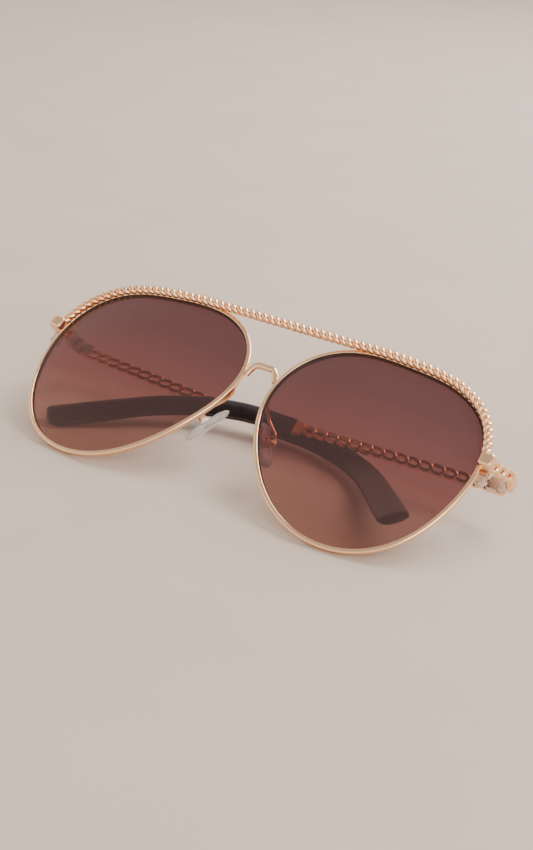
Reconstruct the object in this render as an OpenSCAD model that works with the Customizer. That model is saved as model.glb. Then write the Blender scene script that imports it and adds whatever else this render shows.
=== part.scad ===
// Aviator sunglasses with a twisted rope brow bar and curb-chain temples.
// They lie face up with the temples folded: the lower rims and the temple underneath touch
// the surface, and the brow side is raised. All sizes are in millimetres.
// The front is built in its own frame (X along the brow, Y up the lens, Z out of the lens),
// then tilted onto the surface by front_frame(). "Left" and "right" are the wearer's,
// and the left half lies on +X.

/* [Lens outline] */
// Mean radius of the rim's centre line about the lens centre
lens_r = 29.5; // [27:0.1:35.5]
// Two-lobe part of the outline, which widens it sideways
lens_widen = 0.95; // [0:0.05:1.5]
// Two-lobe part of the outline that leans it, upper corner toward the nose
lens_lean = 1.4; // [0:0.05:2]
// Three-lobe part of the outline, which makes the teardrop
lens_drop = 1.75; // [0:0.05:2.2]
// Turn of the teardrop, about the lens centre
lens_drop_turn = 0.25; // [0:0.05:0.5]
// Four-lobe part of the outline, which squares it a little
lens_square = 0.5; // [0:0.05:0.8]
// Distance between the two rims across the nose, at their centre lines
lens_gap = 11.02; // [8.6:0.01:14]
// Height of the two lens centres in the front's frame
lens_y = -0.3; // [-1:0.05:1]
// Radius of the lens surface
lens_surface_r = 126; // [100:1:200]
// Angle each lens is turned back from the front plane
face_form = 1.95; // [0:0.05:4]
// Thickness of each lens
lens_t = 1; // [0.8:0.05:1.2]

/* [Rim] */
// Width of the rim wire, seen from the front
rim_w = 1.3; // [1.1:0.05:1.6]
// Depth of the rim wire, front to back
rim_d = 1.7; // [1.5:0.05:2.1]
// Depth of the groove that holds the lens
groove_depth = 0.5; // [0.4:0.05:0.6]
// Clearance around the lens in its groove
lens_clear = 0.05; // [0.02:0.01:0.1]

/* [Brow bar and bridge] */
// Mean radius of the twisted brow bar
bar_r = 1.12; // [0.95:0.01:1.35]
// Height of the two strands above and below that mean
bar_strand = 0.28; // [0.1:0.01:0.35]
// Length of one full turn of the strands
bar_twist_pitch = 4.1; // [3.4:0.1:5]
// Distance of the bar's centre outside the rim's centre line
bar_out = 0.8; // [0.6:0.05:1.2]
// Distance of the bar's centre in front of the rim's centre line
bar_forward = 1.6; // [1.4:0.05:1.9]
// Diameter of the lower bridge wire
bridge_d = 1.8; // [1.5:0.05:2.1]
// Height of the bridge's feet up the rims
bridge_foot_y = 9.2; // [7.6:0.1:11]
// Height of the bridge's flat top
bridge_top_y = 12.7; // [11:0.1:15]
// Half of the width of the bridge's flat top
bridge_half_top = 3.2; // [2.7:0.1:3.8]
// Distance of the bridge's top in front of the rims
bridge_forward = 0.9; // [0:0.1:2]

/* [End pieces] */
// Width of the smooth end block, along the brow
block_w = 3.9; // [3.3:0.1:4.7]
// Height of the smooth end block
block_h = 3.9; // [3.3:0.1:4.7]
// Depth of the smooth end block, front to back
block_d = 3.3; // [2.9:0.1:4]
// Distance of the block's centre above the lens centre
block_y = 6.2; // [5.2:0.1:7.4]
// Radius of the block's rounded edges
block_round = 0.9; // [0.5:0.1:1.2]
// Height of the chain-patterned arm and of the temple chain
chain_h = 3.4; // [2.9:0.1:4]
// Thickness of the chain-patterned arm and of the temple chain
chain_t = 1.5; // [1.3:0.05:1.7]
// Distance from one chain link to the next
chain_pitch = 3.66; // [3.1:0.02:4.3]
// Width of a chain hole
hole_w = 1.3; // [1.1:0.05:1.5]
// Length of a chain hole
hole_l = 2.35; // [2:0.05:2.6]
// Slant of each chain link
link_slant = 14; // [0:1:25]

/* [Hinges] */
// Distance of each hinge pin outside the middle of the end block
hinge_out = 1.49; // [-0.5:0.01:4]
// Height of the hinges above the lens centres
hinge_y = 9.75; // [8:0.05:11.5]
// Distance of the hinge pins behind the front plane
hinge_back = 18.8; // [16:0.1:22.5]
// Distance of the temple chain's middle from the hinge pin
hinge_offset = 2.2; // [2.1:0.05:2.6]
// Lean of each hinge pin, its top toward the nose
hinge_lean = 0.5; // [0:0.05:1]
// Outer radius of the hinge barrel
barrel_r = 1.2; // [1.1:0.05:1.3]
// Height of the hinge barrel
barrel_h = 3.6; // [3:0.1:4.3]
// Radius of the hinge screw's shank
screw_r = 0.55; // [0.45:0.01:0.65]
// Running clearance between the screw and its knuckles, on the radius
screw_clear = 0.04; // [0.02:0.01:0.08]
// Gap between neighbouring knuckles
knuckle_gap = 0.08; // [0.05:0.01:0.15]
// Angle that the left temple is folded in from straight back
fold_left = 85.9; // [80:0.1:88]
// Angle that the right temple is folded in from straight back
fold_right = 82.8; // [76:0.1:84]

/* [Temples] */
// Number of holes in each temple chain
temple_links = 16; // [14:1:18]
// Distance from the hinge pin to the first hole
first_hole = 5.06; // [4.8:0.02:6]
// Length of the metal collar at the tip's start
collar_l = 3; // [2.5:0.1:3.6]
// Height of the metal collar at the tip's start
collar_h = 4.6; // [4:0.1:5]
// Length of each temple tip along its curve
tip_l = 73.6; // [60:0.1:85]
// Height of a tip at its start
tip_h_start = 5.3; // [4.8:0.1:6]
// Height of a tip near its end
tip_h_end = 8; // [6.6:0.1:9.6]
// Thickness of a tip
tip_t = 2.5; // [2.3:0.05:2.6]
// Angle that each tip bends down behind the ear
tip_bend = 45; // [35:1:55]
// Straight length before that bend starts
tip_bend_start = 8.5; // [4:0.5:16]
// Length over which that bend is spread
tip_bend_l = 40; // [32:1:50]
// Angle that the left tip curves in toward the head
tip_tuck_left = 21.5; // [8:0.5:28]
// Angle that the right tip curves in toward the head
tip_tuck_right = 36; // [26:0.5:42]
// Length over which the inward curve is spread
tip_tuck_l = 45; // [35:1:55]
// Height of the flat core wire inside a tip
core_h = 2; // [1.6:0.1:2.4]
// Thickness of the flat core wire
core_t = 0.9; // [0.7:0.05:1]

/* [Nose pads] */
// Length of a nose pad
pad_l = 14; // [11.7:0.1:16.8]
// Width of a nose pad
pad_w = 7; // [5.8:0.1:8.4]
// Thickness of a nose pad
pad_t = 2.2; // [2:0.1:2.6]
// Distance of each pad's centre from the middle of the front
pad_x = 8.9; // [8.4:0.1:10]
// Distance of the pads' centres below the front's own X axis
pad_down = 6.6; // [5.5:0.1:7.9]
// Distance of the pads' centres behind the front plane
pad_back = 9.6; // [9:0.1:11.5]
// Angle that a pad faces back from the side
pad_splay = 31; // [22:1:38]
// Angle that a pad's top leans toward the nose
pad_slant = 27; // [18:1:34]
// Radius of the pad arm's wire
pad_wire_r = 0.45; // [0.35:0.01:0.55]

/* [Resting pose] */
// Tilt of the front on the surface, brow side up
rest_tilt = 34; // [20:0.5:40]
// Distance from the surface up to the origin of the front's frame
rest_lift = 21.91; // [10:0.01:40]
// Shift along Y that puts the origin under the middle of the part
rest_shift = -2.31; // [-20:0.01:20]

/* [Hidden] */
$fn = 48;
GOLD = "#d9a184";
STEEL = "#b9aaa2";
BLACK = "#161416";
CLEAR = "#e8e4e0";
BROWN = "#6b403c";
// Small lap by which parts of one solid run into each other.
lap = 0.2;

// ---- frames ----

// Puts the front's own frame on the surface.
module front_frame() {
    translate([0, rest_shift, rest_lift]) rotate([rest_tilt, 0, 0]) children();
}

// Draws a left-hand piece, or its mirror image for the right side.
module side(is_left) {
    front_frame() mirror([is_left ? 0 : 1, 0, 0]) children();
}

// Frame of the left hinge: its origin on the pin, Y along the pin, -Z straight back.
module hinge_frame() {
    translate([hinge_x, hinge_y, -hinge_back]) rotate([0, 0, -hinge_lean]) children();
}

// Frame of the left temple: as the hinge frame, turned in by the fold.
module temple_frame(fold) {
    hinge_frame() rotate([0, fold, 0]) children();
}

// Frame of the left nose pad: X toward the lens, Y up the pad, Z across it.
module pad_frame() {
    translate([pad_x, -pad_down, -pad_back])
        rotate([0, 0, pad_slant]) rotate([0, -pad_splay, 0]) children();
}

// ---- vectors ----

function unit(v) = v / norm(v);
function mix(a, b, f) = a + (b - a) * f;
function clamp01(x) = min(1, max(0, x));

// ---- lens outline, as a polar curve about the lens centre (0 degrees outward, 90 up) ----

function outline_r(a) = lens_r + lens_widen * cos(2 * a) - lens_lean * sin(2 * a)
    + lens_drop * sin(3 * a) - lens_drop_turn * cos(3 * a) - lens_square * cos(4 * a);
function outline_slope(a) = -2 * lens_widen * sin(2 * a) - 2 * lens_lean * cos(2 * a)
    + 3 * lens_drop * cos(3 * a) + 3 * lens_drop_turn * sin(3 * a) + 4 * lens_square * sin(4 * a);
function outline_p(a) = outline_r(a) * [cos(a), sin(a)];
function outline_t(a) = unit(outline_slope(a) * [cos(a), sin(a)] + outline_r(a) * [-sin(a), cos(a)]);
// Outward normal of the outline.
function outline_n(a) = let (t = outline_t(a)) [t[1], -t[0]];
// A point the given distance outside the outline.
function outline_off(a, d) = outline_p(a) + d * outline_n(a);

// The lens surface, its apex on the lens centre.
function surface_z(p) = sqrt(pow(lens_surface_r, 2) - p * p) - lens_surface_r;
function surface_n(p) = [p[0], p[1], surface_z(p) + lens_surface_r] / lens_surface_r;

// From the left lens's own frame to the front's frame.
nose_reach = max([for (a = [90:2:270]) -outline_p(a)[0]]);
lens_x = lens_gap / 2 + nose_reach;
lens_z = -lens_x * tan(face_form);
function lens_to_front(p) = [lens_x + p[0] * cos(face_form) + p[2] * sin(face_form), lens_y + p[1],
                             lens_z - p[0] * sin(face_form) + p[2] * cos(face_form)];
module lens_frame() {
    translate([lens_x, lens_y, lens_z]) rotate([0, face_form, 0]) children();
}

// A point on the rim's centre line, moved out and forward, in the front's frame.
function rim_point(a, out, forward) = let (p = outline_off(a, out))
    lens_to_front([p[0], p[1], surface_z(p) + forward]);

// Angle about the lens centre of the outer side of the outline at a height: found by halving.
function side_angle(y, low, high, n) = let (mid = (low + high) / 2)
    n == 0 ? mid : outline_p(mid)[1] < y ? side_angle(y, mid, high, n - 1) : side_angle(y, low, mid, n - 1);

// ---- sweeping ----

// A closed tube of rings, each a list of m points: the first joins the last.
module ring_loop(rings) {
    n = len(rings);
    m = len(rings[0]);
    points = [for (r = rings) for (p = r) p];
    faces = [for (i = [0:n - 1]) for (j = [0:m - 1])
        let (k = (i + 1) % n, l = (j + 1) % m)
        each [[i * m + j, i * m + l, k * m + l], [i * m + j, k * m + l, k * m + j]]];
    polyhedron(points, faces, convexity = 6);
}

// A solid of rings with flat ends.
module ring_stack(rings) {
    n = len(rings);
    m = len(rings[0]);
    points = [for (r = rings) for (p = r) p];
    skin = [for (i = [0:n - 2]) for (j = [0:m - 1])
        let (l = (j + 1) % m)
        each [[i * m + j, (i + 1) * m + l, i * m + l], [i * m + j, (i + 1) * m + j, (i + 1) * m + l]]];
    ends = [[for (j = [0:m - 1]) j], [for (j = [m - 1:-1:0]) (n - 1) * m + j]];
    polyhedron(points, concat(skin, ends), convexity = 6);
}

// Rings of a round section along a path, the first corner of each turned toward the given side.
function tube_rings(path, r, sides, toward) = let (n = len(path) - 1)
    [for (i = [0:n]) let (t = unit(path[min(n, i + 1)] - path[max(0, i - 1)]),
        up = unit(cross(toward, t)), front = cross(t, up))
        [for (j = [0:sides - 1]) let (a = 360 * j / sides) path[i] + r * (cos(a) * up + sin(a) * front)]];

// A point of the smooth curve drawn by the control points.
function bezier(ps, f) = len(ps) == 1 ? ps[0] : bezier([for (i = [0:len(ps) - 2]) mix(ps[i], ps[i + 1], f)], f);

// ---- rims and lenses ----

rim_steps = 96;
groove_w = lens_t + 2 * lens_clear;
rim_chamfer = 0.4;
// Section of the rim wire: distance outward, distance forward.
rim_section = let (o = rim_w / 2, f = rim_d / 2, g = groove_w / 2, c = rim_chamfer, b = o - groove_depth)
    [[o, -f + c], [o, f - c], [o - c, f], [-o, f], [-o, g], [-b, g], [-b, -g], [-o, -g], [-o, -f], [o - c, -f]];

function rim_ring(a) = let (p = outline_p(a), e = outline_n(a), n = surface_n(p),
        r = unit([e[0], e[1], -(p * e) / (surface_z(p) + lens_surface_r)]))
    [for (q = rim_section) [p[0], p[1], surface_z(p)] + q[0] * r + q[1] * n];

module rim() {
    lens_frame() ring_loop([for (i = [0:rim_steps - 1]) rim_ring(360 * i / rim_steps)]);
}

// The lens edge stops short of the groove's floor, which leans with the lens surface.
lens_edge = groove_depth - rim_w / 2 - lens_clear - lens_t / 2 * lens_r / lens_surface_r;

module lens() {
    lens_frame() intersection() {
        translate([0, 0, -lens_surface_r / 6]) linear_extrude(lens_surface_r / 3)
            polygon([for (i = [0:rim_steps - 1]) outline_off(360 * i / rim_steps, lens_edge)]);
        translate([0, 0, -lens_surface_r]) difference() {
            sphere(lens_surface_r + lens_t / 2, $fn = 240);
            sphere(lens_surface_r - lens_t / 2, $fn = 240);
        }
    }
}

// ---- brow bar ----

// The bar starts inside the end block, this far above the block's middle.
bar_start_up = 0.85;
bar_start = side_angle(block_y + bar_start_up - lens_y, 0, 45, 20);
bar_steps = 26;
// Angle at the top of the outline, where its tangent runs level: found by halving.
function level_angle(low, high, n) = let (mid = (low + high) / 2)
    n == 0 ? mid : outline_t(mid)[1] > 0 ? level_angle(mid, high, n - 1) : level_angle(low, mid, n - 1);
bar_top = level_angle(60, 140, 20);
bar_left = [for (i = [0:bar_steps]) rim_point(mix(bar_start, bar_top, i / bar_steps), bar_out, bar_forward)];
bar_path = concat(bar_left, [for (i = [bar_steps:-1:0]) [-bar_left[i][0], bar_left[i][1], bar_left[i][2]]]);
bar_reach = [for (i = 0, s = 0; i < len(bar_path);
                  i = i + 1, s = s + (i < len(bar_path) ? norm(bar_path[i] - bar_path[i - 1]) : 0)) s];
bar_l = bar_reach[len(bar_reach) - 1];
function bar_at(s) = [for (k = [0:2]) lookup(s, [for (i = [0:len(bar_path) - 1]) [bar_reach[i], bar_path[i][k]]])];
bar_rings = round(bar_l / bar_twist_pitch * 7);
bar_sides = 8;

function bar_ring(s) = let (e = 0.5,
        t = unit(bar_at(min(bar_l, s + e)) - bar_at(max(0, s - e))),
        out = unit(cross([0, 0, 1], t)), front = cross(t, out), turn = 360 * s / bar_twist_pitch)
    [for (j = [0:bar_sides - 1]) let (a = 360 * j / bar_sides, r = bar_r + bar_strand * cos(2 * a))
        bar_at(s) + r * (cos(a + turn) * out + sin(a + turn) * front)];

module brow_bar() {
    color(GOLD) front_frame() ring_stack([for (i = [0:bar_rings]) bar_ring(bar_l * i / bar_rings)]);
}

// ---- bridge ----

// Angle about the lens centre of the nose side of the outline at a height: found by halving.
function nose_angle(y, low, high, n) = let (mid = (low + high) / 2)
    n == 0 ? mid : outline_p(mid)[1] > y ? nose_angle(y, mid, high, n - 1) : nose_angle(y, low, mid, n - 1);
bridge_sink = 0.6;
bridge_foot = rim_point(nose_angle(bridge_foot_y - lens_y, 120, 200, 20), rim_w / 2 + bridge_d / 2 - bridge_sink, 0);
bridge_top = [bridge_half_top, bridge_top_y, bridge_foot[2] + bridge_forward];
bridge_sides = 12;
bridge_turn_steps = 7;

// Points of a curve that rounds the corner b between a and c.
function corner(a, b, c) = [for (i = [0:bridge_turn_steps]) let (f = i / bridge_turn_steps)
    mix(mix(mix(b, a, 0.6), b, f), mix(b, mix(b, c, 0.4), f), f)];
bridge_half = concat([bridge_foot], corner(bridge_foot, bridge_top, [0, bridge_top_y, bridge_top[2]]));
bridge_path = concat(bridge_half, [for (i = [len(bridge_half) - 1:-1:0])
    [-bridge_half[i][0], bridge_half[i][1], bridge_half[i][2]]]);

module bridge() {
    color(GOLD) front_frame() ring_stack(tube_rings(bridge_path, bridge_d / 2, bridge_sides, [0, 0, 1]));
}

// ---- chain pattern ----

// A flat shape with round ends, turned about its middle.
module stadium(length, width, turn) {
    rotate(turn) {
        square([length - width, width], center = true);
        for (s = [-1, 1]) translate([s * (length - width) / 2, 0]) circle(width / 2);
    }
}

link_l = chain_pitch * 1.38;
// A slanted link stands a little taller than its own width, by about this much.
link_narrow = 0.25;

// Outline of links along X, the first at zero.
module links_2d(count) {
    difference() {
        union() {
            for (i = [0:count - 1]) translate([i * chain_pitch, 0])
                stadium(link_l, chain_h - link_narrow, link_slant);
        }
        for (i = [0:count - 1]) translate([i * chain_pitch, 0]) stadium(hole_l, hole_w, link_slant);
    }
}

// Turns a flat outline so that X runs straight back, Y stays up and its thickness is along X.
module stand_back(thickness) {
    rotate([0, 90, 0]) linear_extrude(thickness, center = true) children();
}

// ---- end pieces ----

// The block sits on the front of the rim, clear of the lens, and laps onto the rim's face.
block_on_rim = rim_point(side_angle(block_y - lens_y, 0, 45, 20), 0, 0);
block_inner = 0.15;
block_lap = 0.8;
block_x = block_on_rim[0] + block_w / 2 - block_inner;
block_z = block_on_rim[2] + rim_d / 2 - block_lap + block_d / 2;
hinge_x = block_x + hinge_out;
hinge_flat_l = 5.4;
hinge_plate_gap = 0.1;
arm_links = 3;
arm_link_size = 0.82;
arm_strip_h = chain_h - 0.24;
// Depth by which the arm's ends run into the block and into the flat part.
arm_bite = 0.4;
// The patterned arm runs from the back of the block to the flat part at the hinge.
arm_from = [block_x + block_w / 2 - chain_t / 2 - arm_bite, block_y, block_z - block_d / 2 + arm_bite];
arm_to = [hinge_x + hinge_offset, hinge_y, -hinge_back + hinge_flat_l - 1.5 * arm_bite];
arm_v = arm_to - arm_from;
arm_l = norm(arm_v);
arm_rise = atan2(arm_v[1], norm([arm_v[0], arm_v[2]]));
arm_yaw = atan2(arm_v[0], -arm_v[2]);

// A box with rounded edges and corners, centred.
module rounded_box(size, r) {
    hull() for (x = [-1, 1]) for (y = [-1, 1]) for (z = [-1, 1])
        translate([x * (size[0] / 2 - r), y * (size[1] / 2 - r), z * (size[2] / 2 - r)]) sphere(r, $fn = 24);
}

// The arm's links sit side by side on a strip that is a little lower than they are.
module arm_outline() {
    link_places = [for (i = [0:arm_links - 1]) arm_l * (i + 0.5) / arm_links];
    difference() {
        union() {
            translate([0, -arm_strip_h / 2]) square([arm_l, arm_strip_h]);
            for (x = link_places) translate([x, 0]) stadium(link_l * arm_link_size, chain_h, link_slant);
        }
        for (x = link_places) translate([x, 0]) stadium(hole_l * arm_link_size, hole_w, link_slant);
    }
}

module end_piece() {
    translate([block_x, block_y, block_z]) rounded_box([block_w, block_h, block_d], block_round);
    translate(arm_from) rotate([0, -arm_yaw, 0]) rotate([arm_rise, 0, 0]) stand_back(chain_t) arm_outline();
    hinge_frame() translate([hinge_offset - chain_t / 2, -chain_h / 2, hinge_plate_gap])
        cube([chain_t, chain_h, hinge_flat_l]);
}

// ---- rim locks, which close each rim around its lens behind the end block ----

lock_w = 2;
lock_d = 2.4;
lock_h = 1.9;
lock_gap = 0.3;
rim_screw_r = 0.5;
rim_screw_head_r = 0.85;
rim_screw_head_h = 0.5;
// Distance of the lock below the block's middle, and how far it laps onto the rim's side and back.
lock_down = 2.84;
lock_lap_side = 0.3;
lock_lap_back = 0.8;
lock_at = rim_point(side_angle(block_y - lock_down - lens_y, 0, 45, 20),
                    rim_w / 2 + lock_w / 2 - lock_lap_side, -rim_d / 2 - lock_d / 2 + lock_lap_back);

module lock_half(up) {
    translate(lock_at) difference() {
        translate([-lock_w / 2, up > 0 ? lock_gap / 2 : -lock_gap / 2 - lock_h, -lock_d / 2])
            cube([lock_w, lock_h, lock_d]);
        rotate([90, 0, 0]) cylinder(h = 4 * lock_h, r = rim_screw_r + screw_clear, center = true);
    }
}

module rim_screw() {
    translate(lock_at) rotate([90, 0, 0]) {
        translate([0, 0, -lock_gap / 2 - lock_h + lap]) cylinder(h = 2 * lock_h + lock_gap - lap, r = rim_screw_r);
        translate([0, 0, lock_gap / 2 + lock_h]) cylinder(h = rim_screw_head_h, r = rim_screw_head_r);
    }
}

// ---- hinges ----

knuckle_h = (barrel_h - 2 * knuckle_gap) / 3;
// Distance from the pin to the face that the leaves lie on, and the slack under a leaf.
leaf_face = hinge_offset - chain_t / 2;
leaf_t = leaf_face - 0.25;
leaf_l = 3;
leaf_from = barrel_r + 0.35;
knuckle_slack = 0.15;
screw_head_r = 1;
screw_head_h = 0.45;

// One knuckle with its bore, at a height on the pin.
module knuckle(y) {
    translate([0, y, 0]) rotate([-90, 0, 0]) cylinder(h = knuckle_h, r = barrel_r);
}

module pin_bore() {
    rotate([90, 0, 0]) cylinder(h = 3 * barrel_h, r = screw_r + screw_clear, center = true);
}

// Leaf plate with arms to the knuckles, running forward along +Z from the pin.
module leaf(knuckles) {
    difference() {
        union() {
            translate([leaf_face - leaf_t, -barrel_h / 2, leaf_from]) cube([leaf_t, barrel_h, leaf_l]);
            for (y = knuckles) {
                knuckle(y);
                translate([0, y, 0]) cube([leaf_face - knuckle_slack, knuckle_h, leaf_from + lap]);
            }
        }
        pin_bore();
    }
}

module hinge_front() {
    hinge_frame() leaf([-barrel_h / 2, barrel_h / 2 - knuckle_h]);
}

module hinge_rear(fold) {
    temple_frame(fold) mirror([0, 0, 1]) leaf([-knuckle_h / 2]);
}

module hinge_screw() {
    hinge_frame() rotate([-90, 0, 0]) {
        translate([0, 0, -barrel_h / 2]) cylinder(h = barrel_h + lap, r = screw_r);
        translate([0, 0, barrel_h / 2]) cylinder(h = screw_head_h, r = screw_head_r);
    }
}

// ---- temples ----

chain_end = first_hole + (temple_links - 1) * chain_pitch;
collar_from = chain_end + link_l / 2 - 3 * lap;
collar_to = collar_from + collar_l;
collar_t = 1.9;
// Gap between the two flat parts that meet when a temple is open.
butt = 0.1;
core_socket = 2;
core_clear = 0.05;

// Turns an outline drawn along X so that X runs back along the temple and Y stays up.
module along_temple(thickness) {
    translate([hinge_offset, 0, 0]) rotate([0, 90, 0]) linear_extrude(thickness, center = true) children();
}

module temple_chain(fold) {
    temple_frame(fold) difference() {
        union() {
            along_temple(chain_t) {
                translate([butt, -chain_h / 2]) square([first_hole - link_l / 2 + 5 * lap - butt, chain_h]);
                translate([first_hole, 0]) links_2d(temple_links);
            }
            along_temple(collar_t) polygon([
                [collar_from, -chain_h / 2 + lap], [collar_to, -collar_h / 2],
                [collar_to, collar_h / 2], [collar_from, chain_h / 2 - lap]]);
        }
        translate([hinge_offset, 0, -collar_to + core_socket / 2])
            cube([core_t + 2 * core_clear, core_h + 2 * core_clear, core_socket + core_clear], center = true);
    }
}

tip_steps = 32;
core_steps = tip_steps - 4;
tip_sides = 14;
// Share of the tip's height and thickness left at its very end.
tail_h = 0.35;
tail_t = 0.6;
// Downward and inward angles of the tip a distance past the collar.
function tip_down(s) = tip_bend * clamp01((s - tip_bend_start) / tip_bend_l);
function tip_in(s, tuck) = tuck * clamp01(s / tip_tuck_l);
function tip_dir(s, tuck) = [-sin(tip_in(s, tuck)), -sin(tip_down(s)) * cos(tip_in(s, tuck)),
                             -cos(tip_down(s)) * cos(tip_in(s, tuck))];
tip_step = tip_l / tip_steps;
// Points down the middle of the tip.
function tip_path(tuck, steps) = [for (i = 0, p = [hinge_offset, 0, -collar_to]; i <= steps;
    i = i + 1, p = p + tip_step * tip_dir((i - 0.5) * tip_step, tuck)) p];
// Height and thickness shrink to a round end over the last part of the tip.
function tip_close(s) = let (e = tip_h_end / 2, f = clamp01((s - tip_l + e) / e)) sqrt(max(0, 1 - f * f));
function tip_half_h(s) = mix(tip_h_start, tip_h_end, clamp01(s / (tip_l * 0.85))) / 2;

// One ring of a flattened round section, square to the tip.
function tip_ring(p, s, tuck, half_h, half_t, sides) = let (t = tip_dir(s, tuck),
        across = unit(cross([0, cos(tip_down(s)), -sin(tip_down(s))], t)), up = cross(t, across))
    [for (j = [0:sides - 1]) let (a = 360 * (j + 0.5) / sides, c = cos(a), d = sin(a))
        p + half_t * sign(c) * pow(abs(c), 0.8) * across + half_h * sign(d) * pow(abs(d), 0.8) * up];

// Rings of the flat core wire, or of its channel where it is made larger by the clearance.
function core_rings(path, tuck, grow, start, stop) = concat(
    [tip_ring(path[0] + [0, 0, start], 0, tuck, core_h / 2 + grow, core_t / 2 + grow, 4)],
    [for (i = [0:core_steps]) tip_ring(path[i] + [0, 0, i == core_steps ? stop : 0], i * tip_step, tuck,
                                       core_h / 2 + grow, core_t / 2 + grow, 4)]);

module temple_tip(fold, tuck) {
    path = tip_path(tuck, tip_steps);
    temple_frame(fold) difference() {
        ring_stack([for (i = [0:tip_steps]) let (s = i * tip_step, k = tip_close(s))
            tip_ring(path[i], s, tuck, tip_half_h(s) * max(tail_h, k), tip_t / 2 * max(tail_t, k), tip_sides)]);
        ring_stack(core_rings(path, tuck, core_clear, lap, 0));
    }
}

module temple_core(fold, tuck) {
    temple_frame(fold) ring_stack(core_rings(tip_path(tuck, core_steps), tuck, 0, core_socket - 2 * core_clear,
                                             2 * core_clear));
}

// ---- nose pads ----

boss_w = 1.6;
boss_h = 2.6;
boss_clear = 0.05;
// Depth of the boss in the pad, and of its foot outside the pad.
boss_in = 0.75;
boss_foot = 0.4;
ear_r = 0.8;
cheek_t = 0.5;
cheek_gap = 0.12;
cheek_h = 1.8;
pad_screw_r = 0.4;
pad_screw_head_r = 0.75;
pad_screw_head_h = 0.35;
pad_pivot = [pad_t / 2 + 1.1, 0, 0];
// The box's back plate stands just clear of the boss's round ear.
plate_t = 0.5;
plate_from = pad_pivot[0] + ear_r + 0.1;
box_half_w = boss_w / 2 + cheek_gap + cheek_t;

// Outline of a pad: round at the bottom, narrower at the top.
module pad_outline() {
    r_low = pad_w / 2;
    r_top = pad_w * 0.3;
    hull() {
        translate([0, -pad_l / 2 + r_low]) circle(r_low, $fn = 32);
        translate([0, pad_l / 2 - r_top]) circle(r_top, $fn = 32);
    }
}

module nose_pad() {
    pad_frame() difference() {
        hull() {
            translate([-pad_t / 4, 0, 0]) rotate([0, 90, 0]) linear_extrude(pad_t / 2, center = true) pad_outline();
            rotate([0, 90, 0]) linear_extrude(pad_t, center = true) offset(-pad_t * 0.32) pad_outline();
        }
        translate([pad_t / 2 - boss_in - boss_clear, -boss_h / 2 - boss_clear, -boss_w / 2 - boss_clear])
            cube([pad_t, boss_h + 2 * boss_clear, boss_w + 2 * boss_clear]);
    }
}

module pad_screw_bore() {
    translate(pad_pivot) cylinder(h = 4 * boss_w, r = pad_screw_r + screw_clear, center = true);
}

// The hard boss set in the pad's back, with a round ear for the pad screw.
module pad_boss() {
    pad_frame() difference() {
        union() {
            translate([pad_t / 2 - boss_in, -boss_h / 2, -boss_w / 2]) cube([boss_in + boss_foot, boss_h, boss_w]);
            translate([pad_t / 2, -ear_r, -boss_w / 2]) cube([pad_pivot[0] - pad_t / 2, 2 * ear_r, boss_w]);
            translate(pad_pivot) cylinder(h = boss_w, r = ear_r, center = true);
        }
        pad_screw_bore();
    }
}

// Places a point of the pad's frame in the front's frame.
function pad_to_front(p) = let (x = p[0] * cos(pad_splay) - p[2] * sin(pad_splay),
        z = p[0] * sin(pad_splay) + p[2] * cos(pad_splay))
    [pad_x + x * cos(pad_slant) - p[1] * sin(pad_slant),
     -pad_down + x * sin(pad_slant) + p[1] * cos(pad_slant), -pad_back + z];

// The pad's wire leaves the back of the rim on the nose side, sags back and loops into the box.
arm_root_angle = 172;
arm_steps = 12;
arm_sides = 10;
arm_root = rim_point(arm_root_angle, 0, -groove_w / 2 - (rim_d - groove_w) / 8);
arm_leave = rim_point(arm_root_angle, 0, -rim_d / 2 - 0.3);
arm_gate = pad_to_front([plate_from + plate_t + 0.5, 0.3, 0]);
arm_loop = pad_to_front([plate_from + plate_t + 2.1, 0.3, 0]);
arm_end = pad_to_front([plate_from + plate_t / 2, 0.3, 0]);
arm_drop = [0.2, -2.8, -1.2];
arm_sag = [-0.2, -1.6, -1.2];
arm_curve = [arm_leave, arm_leave + arm_drop, mix(arm_leave, arm_gate, 0.55) + arm_sag, arm_loop, arm_gate];
arm_path = concat([arm_root], [for (i = [0:arm_steps]) bezier(arm_curve, i / arm_steps)], [arm_end]);

module pad_arm() {
    ring_stack(tube_rings(arm_path, pad_wire_r, arm_sides, [1, 0, 0]));
    pad_frame() difference() {
        union() {
            for (z = [-box_half_w, box_half_w - cheek_t]) translate([pad_pivot[0] - ear_r, -cheek_h / 2, z])
                cube([plate_from - pad_pivot[0] + ear_r + lap, cheek_h, cheek_t]);
            translate([plate_from, -cheek_h / 2, -box_half_w]) cube([plate_t, cheek_h, 2 * box_half_w]);
        }
        pad_screw_bore();
    }
}

module pad_screw() {
    pad_frame() translate(pad_pivot) {
        cylinder(h = 2 * box_half_w, r = pad_screw_r, center = true);
        translate([0, 0, box_half_w]) cylinder(h = pad_screw_head_h, r = pad_screw_head_r);
    }
}

// ---- sub-parts ----

module rim_left() {
    color(GOLD) side(true) rim();
}

module rim_right() {
    color(GOLD) side(false) rim();
}

module lens_left() {
    color(BROWN, 0.8) side(true) lens();
}

module lens_right() {
    color(BROWN, 0.8) side(false) lens();
}

module end_piece_left() {
    color(GOLD) side(true) end_piece();
}

module end_piece_right() {
    color(GOLD) side(false) end_piece();
}

module rim_lock_upper_left() {
    color(STEEL) side(true) lock_half(1);
}

module rim_lock_upper_right() {
    color(STEEL) side(false) lock_half(1);
}

module rim_lock_lower_left() {
    color(STEEL) side(true) lock_half(-1);
}

module rim_lock_lower_right() {
    color(STEEL) side(false) lock_half(-1);
}

module rim_screw_left() {
    color(STEEL) side(true) rim_screw();
}

module rim_screw_right() {
    color(STEEL) side(false) rim_screw();
}

module hinge_front_left() {
    color(STEEL) side(true) hinge_front();
}

module hinge_front_right() {
    color(STEEL) side(false) hinge_front();
}

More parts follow.
